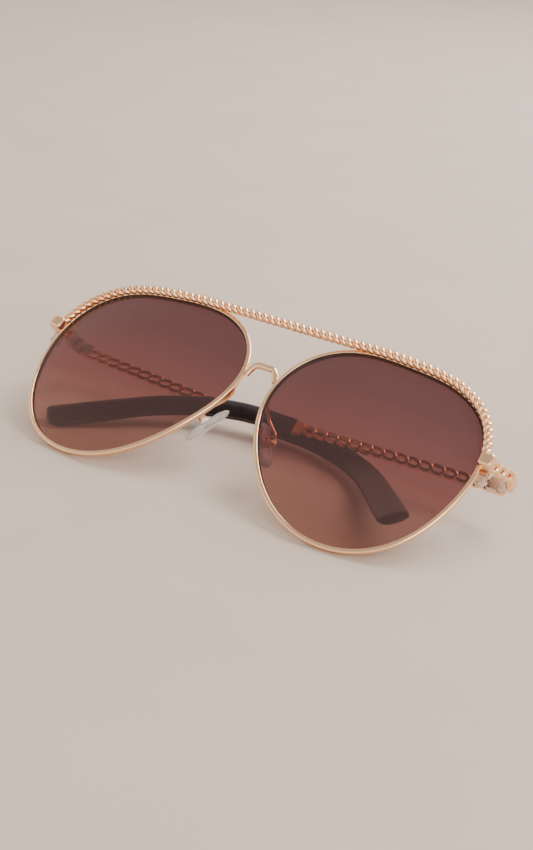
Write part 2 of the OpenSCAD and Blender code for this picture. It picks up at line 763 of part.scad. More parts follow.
module hinge_rear_left() {
    color(STEEL) side(true) hinge_rear(fold_left);
}

module hinge_rear_right() {
    color(STEEL) side(false) hinge_rear(fold_right);
}

module hinge_screw_left() {
    color(STEEL) side(true) hinge_screw();
}

module hinge_screw_right() {
    color(STEEL) side(false) hinge_screw();
}

module pad_arm_left() {
    color(GOLD) side(true) pad_arm();
}

module pad_arm_right() {
    color(GOLD) side(false) pad_arm();
}

module pad_screw_left() {
    color(STEEL) side(true) pad_screw();
}

module pad_screw_right() {
    color(STEEL) side(false) pad_screw();
}

module pad_boss_left() {
    color(STEEL) side(true) pad_boss();
}

module pad_boss_right() {
    color(STEEL) side(false) pad_boss();
}

module nose_pad_left() {
    color(CLEAR, 0.5) side(true) nose_pad();
}

module nose_pad_right() {
    color(CLEAR, 0.5) side(false) nose_pad();
}

module temple_chain_left() {
    color(GOLD) side(true) temple_chain(fold_left);
}

module temple_chain_right() {
    color(GOLD) side(false) temple_chain(fold_right);
}

module temple_core_left() {
    color(STEEL) side(true) temple_core(fold_left, tip_tuck_left);
}

module temple_core_right() {
    color(STEEL) side(false) temple_core(fold_right, tip_tuck_right);
}

module temple_tip_left() {
    color(BLACK) side(true) temple_tip(fold_left, tip_tuck_left);
}

module temple_tip_right() {
    color(BLACK) side(false) temple_tip(fold_right, tip_tuck_right);
}

rim_left();
rim_right();
lens_left();
lens_right();
brow_bar();
bridge();
end_piece_left();
end_piece_right();
rim_lock_upper_left();
rim_lock_upper_right();
rim_lock_lower_left();
rim_lock_lower_right();
rim_screw_left();
rim_screw_right();
hinge_front_left();
hinge_front_right();
hinge_rear_left();
hinge_rear_right();
hinge_screw_left();
hinge_screw_right();
pad_arm_left();
pad_arm_right();
pad_screw_left();
pad_screw_right();
pad_boss_left();
pad_boss_right();
nose_pad_left();
nose_pad_right();
temple_chain_left();
temple_chain_right();
temple_core_left();
temple_core_right();
temple_tip_left();
temple_tip_right();
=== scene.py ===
"""Aviator sunglasses, folded and lying face up, with a rope brow bar and curb-chain temples.

Shapes are worked out in millimetres in the front's own frame (X along the brow, Y up the lens,
Z out of the lens) for the wearer's left half, then placed on the surface by to_row().
"""

import math

import bmesh
import bpy
import numpy as np
from mathutils import Matrix, Vector


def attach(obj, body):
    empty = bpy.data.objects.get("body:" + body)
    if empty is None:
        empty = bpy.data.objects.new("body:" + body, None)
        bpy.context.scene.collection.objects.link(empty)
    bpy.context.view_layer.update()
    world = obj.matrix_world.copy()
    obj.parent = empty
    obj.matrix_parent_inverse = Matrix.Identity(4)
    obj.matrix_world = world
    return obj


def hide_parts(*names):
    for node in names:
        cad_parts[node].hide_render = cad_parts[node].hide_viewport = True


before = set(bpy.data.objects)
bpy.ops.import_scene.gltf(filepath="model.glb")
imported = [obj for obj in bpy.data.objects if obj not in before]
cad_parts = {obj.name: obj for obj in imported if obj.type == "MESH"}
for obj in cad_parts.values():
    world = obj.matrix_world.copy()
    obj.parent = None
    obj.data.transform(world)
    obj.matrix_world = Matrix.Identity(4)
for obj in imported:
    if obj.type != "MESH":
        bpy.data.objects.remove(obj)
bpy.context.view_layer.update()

# ---------------------------------------------------------------- sizes, in millimetres and degrees

MM = 0.001
# Edges that turn by less than this are shaded smooth.
SMOOTH_ANGLE = 40
SIDES = {"left": 1, "right": -1}

REST_TILT, REST_LIFT, REST_SHIFT = 34.0, 21.91, -2.31

# Harmonics of the lens outline about the lens centre: round, wider, leaning, teardrop, squarer.
LENS_R, LENS_WIDEN, LENS_LEAN = 29.5, 0.95, 1.4
LENS_DROP, LENS_DROP_TURN, LENS_SQUARE = 1.75, 0.25, 0.5
LENS_SPACING, LENS_Y = 73.3, -0.3
LENS_SURFACE_R = 126.0
FACE_FORM = 1.95
LENS_T = 1.0
LENS_EDGE = -0.31

RIM_W, RIM_D = 1.3, 1.7
RIM_ROUND, RIM_LIP_ROUND = 0.55, 0.22
GROOVE_W, GROOVE_DEPTH = 1.1, 0.5

BAR_OUT, BAR_FORWARD = 0.8, 1.6
BAR_START = 14.0
BAR_TURN = 4.1
STRAND_R = 0.71
STRAND_OUT = 0.69
BAR_RING_STEP = 0.17

BRIDGE_D = 1.8
BRIDGE_FOOT_Y, BRIDGE_TOP_Y = 9.2, 12.7
BRIDGE_HALF_TOP, BRIDGE_FORWARD, BRIDGE_SINK = 3.2, 0.9, 0.6
# Shares of the bridge's leg and of its flat top that the round corner takes.
BRIDGE_TURN_LEG, BRIDGE_TURN_TOP = 0.6, 0.4
BRIDGE_RING_STEP = 0.25

BLOCK_W, BLOCK_H, BLOCK_D = 3.9, 3.9, 3.3
BLOCK_Y, BLOCK_INNER, BLOCK_LAP = 6.2, 0.15, 0.8
BLOCK_ROUND = 0.95
# Angle about the lens centre at which the block sits on the rim.
BLOCK_ANGLE = 12.0

CHAIN_H, CHAIN_T, CHAIN_PITCH = 3.4, 1.5, 3.66
LINK_L = 1.38 * CHAIN_PITCH
LINK_SLANT = 14.0
LINK_BAND = 1.22
# How far a link's far end leans outward, and the powers that square its section and its outline.
LINK_LEAN, LINK_SQUARE, LINK_OUTLINE = 0.12, 0.55, 0.85
STRIP_ROUND = 0.35
ARM_LINKS = 3
ARM_BITE = 0.4

HINGE_AT = np.array([69.4, 9.75, -18.8])
HINGE_LEAN = 0.5
HINGE_OFFSET = 2.2
HINGE_FLAT_L, HINGE_GAP = 5.4, 0.1
FOLD = {"left": 85.9, "right": 82.8}

TEMPLE_LINKS, FIRST_HOLE = 16, 5.06
COLLAR_L, COLLAR_H, COLLAR_T = 3.0, 4.6, 1.9
COLLAR_ROUND, COLLAR_OVERLAP = 0.25, 0.6
COLLAR_FROM = FIRST_HOLE + (TEMPLE_LINKS - 1) * CHAIN_PITCH + LINK_L / 2 - COLLAR_OVERLAP
COLLAR_TO = COLLAR_FROM + COLLAR_L

TIP_L, TIP_T = 73.6, 2.5
TIP_H_START, TIP_H_END = 5.3, 8.0
TIP_BEND, TIP_BEND_START, TIP_BEND_L = 45.0, 8.5, 40.0
TIP_TUCK = {"left": 21.5, "right": 36.0}
TIP_TUCK_L = 45.0
# Share of the tip's length by which it reaches its full height.
TIP_WIDEN = 0.85
# Powers of the end's rounding on the lower side, through the thickness and on the upper side.
END_LOW, END_THICK, END_UP = 2, 4, 7
# Least share of the section left at the very end, squared; and the shoulder where the tip starts.
END_LEAST = 0.004
SHOULDER, SHOULDER_L = 0.93, 0.5
TIP_SECTION = 0.8

PAD_L, PAD_W, PAD_T = 14.0, 7.0, 2.2
PAD_AT = np.array([8.9, -6.6, -9.6])
PAD_SPLAY, PAD_SLANT = 31.0, 27.0
# Radius of the pad's narrow top as a share of its width; fullness of its edge; how far its rim is set back.
PAD_TOP, PAD_FULL, PAD_BACKSET = 0.3, 0.6, 0.25


# ---------------------------------------------------------------- frames


def turn_x(deg):
    c, s = math.cos(math.radians(deg)), math.sin(math.radians(deg))
    return np.array([[1, 0, 0], [0, c, -s], [0, s, c]])


def turn_y(deg):
    c, s = math.cos(math.radians(deg)), math.sin(math.radians(deg))
    return np.array([[c, 0, s], [0, 1, 0], [-s, 0, c]])


def turn_z(deg):
    c, s = math.cos(math.radians(deg)), math.sin(math.radians(deg))
    return np.array([[c, -s, 0], [s, c, 0], [0, 0, 1]])


def to_row(points, side=1):
    """Front-frame millimetres of the left half to row-frame metres, mirrored for the right half."""
    p = np.asarray(points, float) * [side, 1, 1]
    return (p @ turn_x(REST_TILT).T + [0, REST_SHIFT, REST_LIFT]) * MM


def hinge_to_front(points):
    return np.asarray(points, float) @ turn_z(-HINGE_LEAN).T + HINGE_AT


def temple_to_front(points, fold):
    return hinge_to_front(np.asarray(points, float) @ turn_y(fold).T)


def pad_to_front(points):
    return np.asarray(points, float) @ (turn_z(PAD_SLANT) @ turn_y(-PAD_SPLAY)).T + PAD_AT


def strip_point(s, up, out):
    """A point of a chain strip: distance back, height, distance outward."""
    return np.stack(np.broadcast_arrays(out, up, -np.asarray(s, float)), axis=-1)


def unit(v):
    v = np.asarray(v, float)
    return v / np.linalg.norm(v, axis=-1, keepdims=True)


def mix(a, b, f):
    return a + (b - a) * f


# ---------------------------------------------------------------- lens outline and surface


def outline_r(a):
    return (LENS_R + LENS_WIDEN * np.cos(2 * a) - LENS_LEAN * np.sin(2 * a) + LENS_DROP * np.sin(3 * a)
            - LENS_DROP_TURN * np.cos(3 * a) - LENS_SQUARE * np.cos(4 * a))


def outline_point(deg, out=0.0):
    """A point on the lens outline at an angle about the lens centre, moved outward."""
    a = np.radians(deg)
    step = 1e-4
    p = outline_r(a)[..., None] * np.stack([np.cos(a), np.sin(a)], -1)
    q = outline_r(a + step)[..., None] * np.stack([np.cos(a + step), np.sin(a + step)], -1)
    t = unit(q - p)
    n = np.stack([t[..., 1], -t[..., 0]], -1)
    return p + np.asarray(out)[..., None] * n, n


def surface_z(p):
    return np.sqrt(LENS_SURFACE_R ** 2 - (p ** 2).sum(-1)) - LENS_SURFACE_R


def lens_to_front(points):
    middle = LENS_SPACING / 2
    centre = [middle, LENS_Y, -middle * math.tan(math.radians(FACE_FORM))]
    return np.asarray(points, float) @ turn_y(FACE_FORM).T + centre


def rim_point(deg, out=0.0, forward=0.0):
    p, _ = outline_point(np.asarray(deg, float), out)
    return lens_to_front(np.concatenate([p, (surface_z(p) + forward)[..., None]], -1))


# ---------------------------------------------------------------- meshes


def grid_faces(rings, around, closed_rings=False):
    """Quads between neighbouring rings, each of the same number of points."""
    last = rings if closed_rings else rings - 1
    return [
        (i * around + j, i * around + (j + 1) % around,
         (i + 1) % rings * around + (j + 1) % around, (i + 1) % rings * around + j)
        for i in range(last)
        for j in range(around)
    ]


class Shape:
    """Points and faces of a piece, gathered before the mesh is made."""

    def __init__(self):
        self.points, self.faces, self.count = [], [], 0

    def add(self, points, faces):
        points = np.asarray(points, float).reshape(-1, 3)
        self.points.append(points)
        self.faces += [tuple(i + self.count for i in f) for f in faces]
        self.count += len(points)
        return self

    def tube(self, rings, closed=False):
        """A skin over rings, with flat ends unless it closes on itself."""
        rings = np.asarray(rings, float)
        n, m = rings.shape[:2]
        faces = grid_faces(n, m, closed)
        if not closed:
            faces += [tuple(range(m))[::-1], tuple((n - 1) * m + j for j in range(m))]
        return self.add(rings, faces)


def make(name, shape, side=1, place=None):
    """An object from a Shape in the front's frame, after place() if there is one."""
    points = np.concatenate(shape.points)
    if place is not None:
        points = place(points)
    mesh = bpy.data.meshes.new(name)
    mesh.from_pydata(to_row(points, side).tolist(), [], shape.faces)
    work = bmesh.new()
    work.from_mesh(mesh)
    bmesh.ops.recalc_face_normals(work, faces=work.faces)
    for edge in work.edges:
        edge.smooth = len(edge.link_faces) == 2 and edge.calc_face_angle(0) < math.radians(SMOOTH_ANGLE)
    for face in work.faces:
        face.smooth = True
    work.to_mesh(mesh)
    work.free()
    obj = bpy.data.objects.new(name, mesh)
    bpy.context.scene.collection.objects.link(obj)
    return obj


def finish_piece(obj, material, body, *nodes):
    obj.data.materials.append(material)
    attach(obj, body)
    if nodes:
        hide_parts(*nodes)
    return obj


def path_frames(path, toward):
    """Unit tangent, side and front vectors along a path. Each side is square to toward."""
    path = np.asarray(path, float)
    t = np.empty_like(path)
    t[1:-1] = path[2:] - path[:-2]
    t[0], t[-1] = path[1] - path[0], path[-1] - path[-2]
    t = unit(t)
    side = unit(np.cross(np.broadcast_to(toward, t.shape), t))
    return t, side, np.cross(t, side)


def round_tube(path, radius, sides, toward):
    """Rings of a round section along a path. The radius may change along it."""
    _, side, front = path_frames(path, toward)
    a = np.linspace(0, 2 * np.pi, sides, endpoint=False)
    radius = np.broadcast_to(radius, (len(path),))[:, None, None]
    return np.asarray(path)[:, None] + radius * (
        np.cos(a)[None, :, None] * side[:, None] + np.sin(a)[None, :, None] * front[:, None])


def even_path(points, spacing):
    """The same path with points at an even spacing, and its length."""
    points = np.asarray(points, float)
    reach = np.concatenate([[0], np.cumsum(np.linalg.norm(np.diff(points, axis=0), axis=1))])
    count = max(2, int(round(reach[-1] / spacing)) + 1)
    at = np.linspace(0, reach[-1], count)
    return np.stack([np.interp(at, reach, points[:, k]) for k in range(3)], -1), at


def bezier(controls, count):
    out = []
    for f in np.linspace(0, 1, count):
        q = np.asarray(controls, float)
        while len(q) > 1:
            q = mix(q[:-1], q[1:], f)
        out.append(q[0])
    return np.array(out)


def rounded_box(size, radius, segments=5):
    """Points and faces of a box with rounded edges."""
    work = bmesh.new()
    bmesh.ops.create_cube(work, size=1)
    for v in work.verts:
        v.co = Vector([c * s for c, s in zip(v.co, size)])
    bmesh.ops.bevel(work, geom=list(work.edges), offset=radius, segments=segments, profile=0.5,
                    affect="EDGES")
    work.verts.ensure_lookup_table()
    points = np.array([v.co for v in work.verts])
    faces = [tuple(v.index for v in f.verts) for f in work.faces]
    work.free()
    return points, faces


# ---------------------------------------------------------------- pieces of the front


def rim_section():
    """Outward and forward distances round the rim wire's section: rounded outside, grooved inside."""
    o, f, g, r, q = RIM_W / 2, RIM_D / 2, GROOVE_W / 2, RIM_ROUND, RIM_LIP_ROUND
    corner = [(math.cos(b), math.sin(b)) for b in np.radians(np.linspace(0, 90, 7))]
    lip = [(math.cos(b), math.sin(b)) for b in np.radians(np.linspace(90, 180, 4))]
    front = [(o - r + r * c, f - r + r * s) for c, s in corner]
    front += [(-o + q + q * c, f - q + q * s) for c, s in lip]
    groove = [(-o, g), (-o + GROOVE_DEPTH, g)]
    half = front + groove
    return np.array(half + [(x, -y) for x, y in reversed(half)])


def rim_shape(steps=360):
    deg = np.arange(steps) * 360.0 / steps
    p, e = outline_point(deg)
    z = surface_z(p)
    n = np.concatenate([p, (z + LENS_SURFACE_R)[:, None]], -1) / LENS_SURFACE_R
    r = unit(np.concatenate([e, (-(p * e).sum(-1) / (z + LENS_SURFACE_R))[:, None]], -1))
    centre = np.concatenate([p, z[:, None]], -1)
    section = rim_section()
    rings = centre[:, None] + section[None, :, :1] * r[:, None] + section[None, :, 1:] * n[:, None]
    return Shape().tube(rings, closed=True)


def lens_shape(rings=40, steps=240):
    """A spherical shell cut to the outline, its front and back faces joined by an edge."""
    deg = np.arange(steps) * 360.0 / steps
    edge, _ = outline_point(deg, LENS_EDGE)
    share = np.sin(np.linspace(0, np.pi / 2, rings + 1))[1:]
    points, faces = [], []
    for face, half in enumerate((LENS_T / 2, -LENS_T / 2)):
        radius = LENS_SURFACE_R + half
        flat = share[:, None, None] * edge[None]
        z = np.sqrt(radius ** 2 - (flat ** 2).sum(-1)) - LENS_SURFACE_R
        start = face * (1 + rings * steps)
        points.append(np.array([[0, 0, half]]))
        points.append(np.concatenate([flat, z[..., None]], -1).reshape(-1, 3))
        faces += [(start, start + 1 + j, start + 1 + (j + 1) % steps) for j in range(steps)]
        faces += [tuple(start + 1 + i for i in f) for f in grid_faces(rings, steps)]
    a, b = 1 + (rings - 1) * steps, 1 + rings * steps + 1 + (rings - 1) * steps
    faces += [(a + j, a + (j + 1) % steps, b + (j + 1) % steps, b + j) for j in range(steps)]
    return Shape().add(np.concatenate(points), faces)


def level_angle():
    """Angle about the lens centre where the top of the outline runs level."""
    low, high = 60.0, 140.0
    for _ in range(30):
        mid = (low + high) / 2
        p, n = outline_point(np.array([mid]))
        low, high = (mid, high) if n[0, 0] > 0 else (low, mid)
    return (low + high) / 2


def brow_path():
    half = rim_point(np.linspace(BAR_START, level_angle(), 120), BAR_OUT, BAR_FORWARD)
    return even_path(np.concatenate([half, (half * [-1, 1, 1])[::-1]]), BAR_RING_STEP)


def brow_bar_shape():
    """Two round strands laid round each other along the brow."""
    path, at = brow_path()
    _, out, front = path_frames(path, [0, 0, 1])
    shape = Shape()
    for start in (0, np.pi):
        a = 2 * np.pi * at / BAR_TURN + start
        away = np.cos(a)[:, None] * out + np.sin(a)[:, None] * front
        strand = path + STRAND_OUT * away
        t = unit(np.gradient(strand, axis=0))
        across = unit(np.cross(t, away))
        b = np.linspace(0, 2 * np.pi, 16, endpoint=False)
        rings = strand[:, None] + STRAND_R * (
            np.cos(b)[None, :, None] * away[:, None] + np.sin(b)[None, :, None] * across[:, None])
        shape.tube(rings)
    return shape


def nose_angle(height):
    low, high = 120.0, 200.0
    for _ in range(30):
        mid = (low + high) / 2
        p, _n = outline_point(np.array([mid]))
        low, high = (mid, high) if p[0, 1] > height else (low, mid)
    return (low + high) / 2


def bridge_shape():
    foot = rim_point(nose_angle(BRIDGE_FOOT_Y - LENS_Y), RIM_W / 2 + BRIDGE_D / 2 - BRIDGE_SINK, 0)
    top = np.array([BRIDGE_HALF_TOP, BRIDGE_TOP_Y, foot[2] + BRIDGE_FORWARD])
    middle = np.array([0, BRIDGE_TOP_Y, top[2]])
    bend = bezier([mix(top, foot, BRIDGE_TURN_LEG), top, mix(top, middle, BRIDGE_TURN_TOP)], 16)
    half = np.concatenate([[foot], bend])
    path, _ = even_path(np.concatenate([half, (half * [-1, 1, 1])[::-1]]), BRIDGE_RING_STEP)
    return Shape().tube(round_tube(path, BRIDGE_D / 2, 24, [0, 0, 1]))


# ---------------------------------------------------------------- chain links


def power(x, exponent):
    """A power that keeps the sign, which squares the section that cosines and sines draw."""
    return np.sign(x) * np.abs(x) ** exponent


def link_rings(middle, steps=40, sides=16):
    """One curb link: a flattened ring, slanted in its strip, its far end leaning outward.

    Gives points of the strip: distance back, height, distance outward."""
    u = np.linspace(0, 2 * np.pi, steps, endpoint=False)
    v = np.linspace(0, 2 * np.pi, sides, endpoint=False)
    long_r, high_r = (LINK_L - LINK_BAND) / 2, (CHAIN_H - LINK_BAND) / 2
    line = np.stack([long_r * power(np.cos(u), LINK_OUTLINE), high_r * power(np.sin(u), LINK_OUTLINE)], -1)
    t = unit(np.roll(line, -1, 0) - np.roll(line, 1, 0))
    n = np.stack([t[:, 1], -t[:, 0]], -1)
    wide, thick = LINK_BAND / 2, CHAIN_T / 2 - LINK_LEAN
    flat = line[:, None] + wide * power(np.cos(v), LINK_SQUARE)[None, :, None] * n[:, None]
    out = thick * power(np.sin(v), LINK_SQUARE)[None] + LINK_LEAN * (line[:, 0] / long_r)[:, None]
    c, s = math.cos(math.radians(LINK_SLANT)), math.sin(math.radians(LINK_SLANT))
    back = middle + flat[..., 0] * c - flat[..., 1] * s
    up = flat[..., 0] * s + flat[..., 1] * c
    return strip_point(back, up, out)


def strip_box(start, stop, height, thickness, radius=STRIP_ROUND, taper=None):
    """A rounded flat piece of a strip between two distances back."""
    points, faces = rounded_box((stop - start, height, thickness), radius)
    back, up, out = points[:, 0] + (start + stop) / 2, points[:, 1], points[:, 2]
    if taper:
        up = up * taper((back - start) / (stop - start))
    return strip_point(back, up, out), faces


def end_piece_shape():
    on_rim = rim_point(BLOCK_ANGLE)
    block = np.array([on_rim[0] + BLOCK_W / 2 - BLOCK_INNER, BLOCK_Y,
                      on_rim[2] + RIM_D / 2 - BLOCK_LAP + BLOCK_D / 2])
    shape = Shape()
    points, faces = rounded_box((BLOCK_W, BLOCK_H, BLOCK_D), BLOCK_ROUND, 6)
    shape.add(points + block, faces)
    start = block + [BLOCK_W / 2 - CHAIN_T / 2 - ARM_BITE, 0, -BLOCK_D / 2 + ARM_BITE]
    stop = np.array([HINGE_AT[0] + HINGE_OFFSET, HINGE_AT[1], HINGE_AT[2] + HINGE_FLAT_L - 1.5 * ARM_BITE])
    run = stop - start
    length = np.linalg.norm(run)
    rise = math.degrees(math.atan2(run[1], math.hypot(run[0], run[2])))
    yaw = math.degrees(math.atan2(run[0], -run[2]))
    turn = (turn_y(-yaw) @ turn_x(rise)).T
    pitch = length / ARM_LINKS
    for i in range(ARM_LINKS):
        rings = link_rings(pitch * (i + 0.5))
        shape.tube(rings @ turn + start, closed=True)
    flat, faces = strip_box(-HINGE_FLAT_L - HINGE_GAP, -HINGE_GAP, CHAIN_H, CHAIN_T)
    shape.add(hinge_to_front(flat + [HINGE_OFFSET, 0, 0]), faces)
    return shape


# ---------------------------------------------------------------- temples


def temple_chain_shape(fold):
    shape = Shape()
    plate, faces = strip_box(0.1, FIRST_HOLE - LINK_L / 2 + 1, CHAIN_H, CHAIN_T)
    shape.add(plate, faces)
    for i in range(TEMPLE_LINKS):
        shape.tube(link_rings(FIRST_HOLE + i * CHAIN_PITCH), closed=True)
    low = (CHAIN_H - 0.4) / COLLAR_H
    collar, faces = strip_box(COLLAR_FROM, COLLAR_TO, COLLAR_H, COLLAR_T, COLLAR_ROUND,
                              lambda f: mix(low, 1.0, f))
    shape.add(collar, faces)
    shape.points = [temple_to_front(p + [HINGE_OFFSET, 0, 0], fold) for p in shape.points]
    return shape


def tip_shape(fold, tuck, steps=150, sides=36):
    """A flattened round blade that bends down behind the ear and in toward the head."""
    s = np.linspace(0, TIP_L, steps + 1)

    def heading(at):
        down = np.radians(TIP_BEND * np.clip((at - TIP_BEND_START) / TIP_BEND_L, 0, 1))
        inward = np.radians(tuck * np.clip(at / TIP_TUCK_L, 0, 1))
        t = np.stack([-np.sin(inward), -np.sin(down) * np.cos(inward), -np.cos(down) * np.cos(inward)], -1)
        return t, np.stack([np.zeros_like(down), np.cos(down), -np.sin(down)], -1)

    mid_heading, _ = heading((s[1:] + s[:-1]) / 2)
    path = np.concatenate([[[0, 0, 0]], np.cumsum(mid_heading * (TIP_L / steps), 0)])
    path = path + [HINGE_OFFSET, 0, -COLLAR_TO]
    t, up_hint = heading(s)
    across = unit(np.cross(up_hint, t))
    up = np.cross(t, across)
    close = TIP_H_END / 2
    f = np.clip((s - TIP_L + close) / close, 0, 1)
    low_end, thick_end, up_end = [np.sqrt(np.maximum(END_LEAST, 1 - f ** k))
                                  for k in (END_LOW, END_THICK, END_UP)]
    shoulder = mix(SHOULDER, 1.0, np.sqrt(1 - (1 - np.clip(s / SHOULDER_L, 0, 1)) ** 2))
    half_h = mix(TIP_H_START, TIP_H_END, np.clip(s / (TIP_L * TIP_WIDEN), 0, 1)) / 2 * shoulder
    half_t = TIP_T / 2 * thick_end * shoulder
    a = np.linspace(0, 2 * np.pi, sides, endpoint=False)
    c, d = power(np.cos(a), TIP_SECTION), power(np.sin(a), TIP_SECTION)
    height = half_h[:, None] * d * np.where(d > 0, up_end[:, None], low_end[:, None])
    rings = path[:, None] + (half_t[:, None] * c)[..., None] * across[:, None] + height[..., None] * up[:, None]
    return Shape().tube(temple_to_front(rings.reshape(-1, 3), fold).reshape(rings.shape))


# ---------------------------------------------------------------- nose pads


def pad_shape(steps=72, rows=10):
    """A soft drop-shaped pad: domed on the nose side, flatter on the back."""
    r_low, r_top = PAD_W / 2, PAD_W * PAD_TOP
    low, high = -PAD_L / 2 + r_low, PAD_L / 2 - r_top
    a = np.linspace(0, 2 * np.pi, steps, endpoint=False)
    lean = math.asin((r_low - r_top) / (high - low))
    upper = np.sin(a) > math.sin(lean)
    edge = np.where(upper[:, None], np.stack([r_top * np.cos(a), high + r_top * np.sin(a)], -1),
                    np.stack([r_low * np.cos(a), low + r_low * np.sin(a)], -1))
    middle = np.array([0.0, (low + high) / 2])
    v = np.linspace(0, np.pi, 2 * rows + 1)[1:-1]
    rings = []
    for b in v:
        share = math.sin(b) ** PAD_FULL
        flat = middle + (edge - middle) * share
        x = np.full(steps, -PAD_T / 2 * math.cos(b)) + PAD_BACKSET * (1 - share)
        x = np.clip(x, -PAD_T / 2, PAD_T / 2)
        rings.append(np.stack([x, flat[:, 1], flat[:, 0]], -1))
    rings = np.array(rings)
    return Shape().tube(pad_to_front(rings.reshape(-1, 3)).reshape(rings.shape))


# ---------------------------------------------------------------- materials


def new_material(name):
    material = bpy.data.materials.new(name)
    material.use_nodes = True
    tree = material.node_tree
    tree.nodes.clear()
    output = tree.nodes.new("ShaderNodeOutputMaterial")
    return material, tree, output


def add_node(tree, kind, **inputs):
    node = tree.nodes.new(kind)
    for key, value in inputs.items():
        node.inputs[key.replace("_", " ")].default_value = value
    return node


def noise(tree, scale, detail=3.0, roughness=0.5):
    where = tree.nodes.new("ShaderNodeTexCoord")
    texture = add_node(tree, "ShaderNodeTexNoise", Scale=scale, Detail=detail, Roughness=roughness)
    tree.links.new(where.outputs["Object"], texture.inputs["Vector"])
    return texture.outputs["Fac"]


def ramp_between(tree, factor, low, high, start=0.3, stop=0.7):
    """A value that runs from low to high as factor runs from start to stop."""
    node = add_node(tree, "ShaderNodeMapRange")
    for key, value in (("From Min", start), ("From Max", stop), ("To Min", low), ("To Max", high)):
        node.inputs[key].default_value = value
    tree.links.new(factor, node.inputs["Value"])
    return node.outputs["Result"]


def colour_between(tree, factor, low, high, start=0.3, stop=0.7):
    node = tree.nodes.new("ShaderNodeValToRGB")
    ends = node.color_ramp.elements
    ends[0].position, ends[0].color = start, (*low, 1)
    ends[1].position, ends[1].color = stop, (*high, 1)
    tree.links.new(factor, node.inputs["Fac"])
    return node.outputs["Color"]


def bump(tree, factor, strength, distance):
    node = add_node(tree, "ShaderNodeBump", Strength=strength, Distance=distance)
    tree.links.new(factor, node.inputs["Height"])
    return node.outputs["Normal"]


def metal(name, low, high, rough_low, rough_high):
    """Plated metal: a colour that drifts a little, uneven polish and a very fine grain."""
    material, tree, output = new_material(name)
    shader = add_node(tree, "ShaderNodeBsdfPrincipled", Metallic=1.0)
    tree.links.new(colour_between(tree, noise(tree, 260), low, high), shader.inputs["Base Color"])
    tree.links.new(ramp_between(tree, noise(tree, 900, 4), rough_low, rough_high), shader.inputs["Roughness"])
    tree.links.new(bump(tree, noise(tree, 4200, 4), 0.08, 0.00005), shader.inputs["Normal"])
    tree.links.new(shader.outputs[0], output.inputs["Surface"])
    return material


def plastic(name, low, high, rough_low, rough_high):
    material, tree, output = new_material(name)
    shader = add_node(tree, "ShaderNodeBsdfPrincipled", IOR=1.5)
    tree.links.new(colour_between(tree, noise(tree, 180), low, high), shader.inputs["Base Color"])
    tree.links.new(ramp_between(tree, noise(tree, 500, 4), rough_low, rough_high), shader.inputs["Roughness"])
    tree.links.new(bump(tree, noise(tree, 1500, 3), 0.05, 0.00008), shader.inputs["Normal"])
    tree.links.new(shader.outputs[0], output.inputs["Surface"])
    return material


# Share of light the lens scatters, and share it mirrors straight on.
LENS_HAZE, LENS_MIRROR = 0.032, 0.025


def sheen(tree, straight_on):
    """Share of light that glass mirrors: straight_on face to face, rising to all of it edge on."""
    facing = add_node(tree, "ShaderNodeLayerWeight", Blend=0.5)
    fifth = tree.nodes.new("ShaderNodeMath")
    fifth.operation = "POWER"
    fifth.inputs[1].default_value = 5
    tree.links.new(facing.outputs["Facing"], fifth.inputs[0])
    return ramp_between(tree, fifth.outputs[0], straight_on, 1, 0, 1)


def tinted_lens(name):
    """A see-through lens: plum brown at the brow that fades to a warm light brown at the bottom."""
    material, tree, output = new_material(name)
    height = tree.nodes.new("ShaderNodeAttribute")
    height.attribute_name = "lens_height"
    ramp = tree.nodes.new("ShaderNodeValToRGB")
    ends = ramp.color_ramp.elements
    ends[0].position, ends[0].color = 0.02, (0.72, 0.565, 0.515, 1)
    ends[1].position, ends[1].color = 0.80, (0.34, 0.215, 0.235, 1)
    middle = ends.new(0.42)
    middle.color = (0.465, 0.285, 0.285, 1)
    tree.links.new(height.outputs["Fac"], ramp.inputs["Fac"])
    clear = tree.nodes.new("ShaderNodeBsdfTransparent")
    tree.links.new(ramp.outputs["Color"], clear.inputs["Color"])
    gloss = tree.nodes.new("ShaderNodeBsdfGlossy")
    tree.links.new(ramp_between(tree, noise(tree, 120, 2), 0.02, 0.05), gloss.inputs["Roughness"])
    haze = tree.nodes.new("ShaderNodeMixShader")
    haze.inputs[0].default_value = LENS_HAZE
    tree.links.new(clear.outputs[0], haze.inputs[1])
    dust = add_node(tree, "ShaderNodeBsdfDiffuse", Color=(0.95, 0.60, 0.58, 1))
    tree.links.new(dust.outputs[0], haze.inputs[2])
    mixer = tree.nodes.new("ShaderNodeMixShader")
    tree.links.new(sheen(tree, LENS_MIRROR), mixer.inputs[0])
    tree.links.new(haze.outputs[0], mixer.inputs[1])
    tree.links.new(gloss.outputs[0], mixer.inputs[2])
    tree.links.new(mixer.outputs[0], output.inputs["Surface"])
    return material


def silicone(name):
    """Clear silicone with a faint milkiness."""
    material, tree, output = new_material(name)
    shader = add_node(tree, "ShaderNodeBsdfPrincipled", Transmission_Weight=0.82, IOR=1.41)
    tree.links.new(colour_between(tree, noise(tree, 220), (0.86, 0.86, 0.87), (0.93, 0.93, 0.94)),
                   shader.inputs["Base Color"])
    tree.links.new(ramp_between(tree, noise(tree, 700, 3), 0.10, 0.20), shader.inputs["Roughness"])
    tree.links.new(shader.outputs[0], output.inputs["Surface"])
    return material


def floor_material():
    material, tree, output = new_material("pale_floor")
    shader = add_node(tree, "ShaderNodeBsdfPrincipled", Roughness=0.75)
    tree.links.new(colour_between(tree, noise(tree, 22, 5), (0.555, 0.45, 0.372), (0.59, 0.48, 0.396)),
                   shader.inputs["Base Color"])
    tree.links.new(shader.outputs[0], output.inputs["Surface"])
    return material


# ---------------------------------------------------------------- building

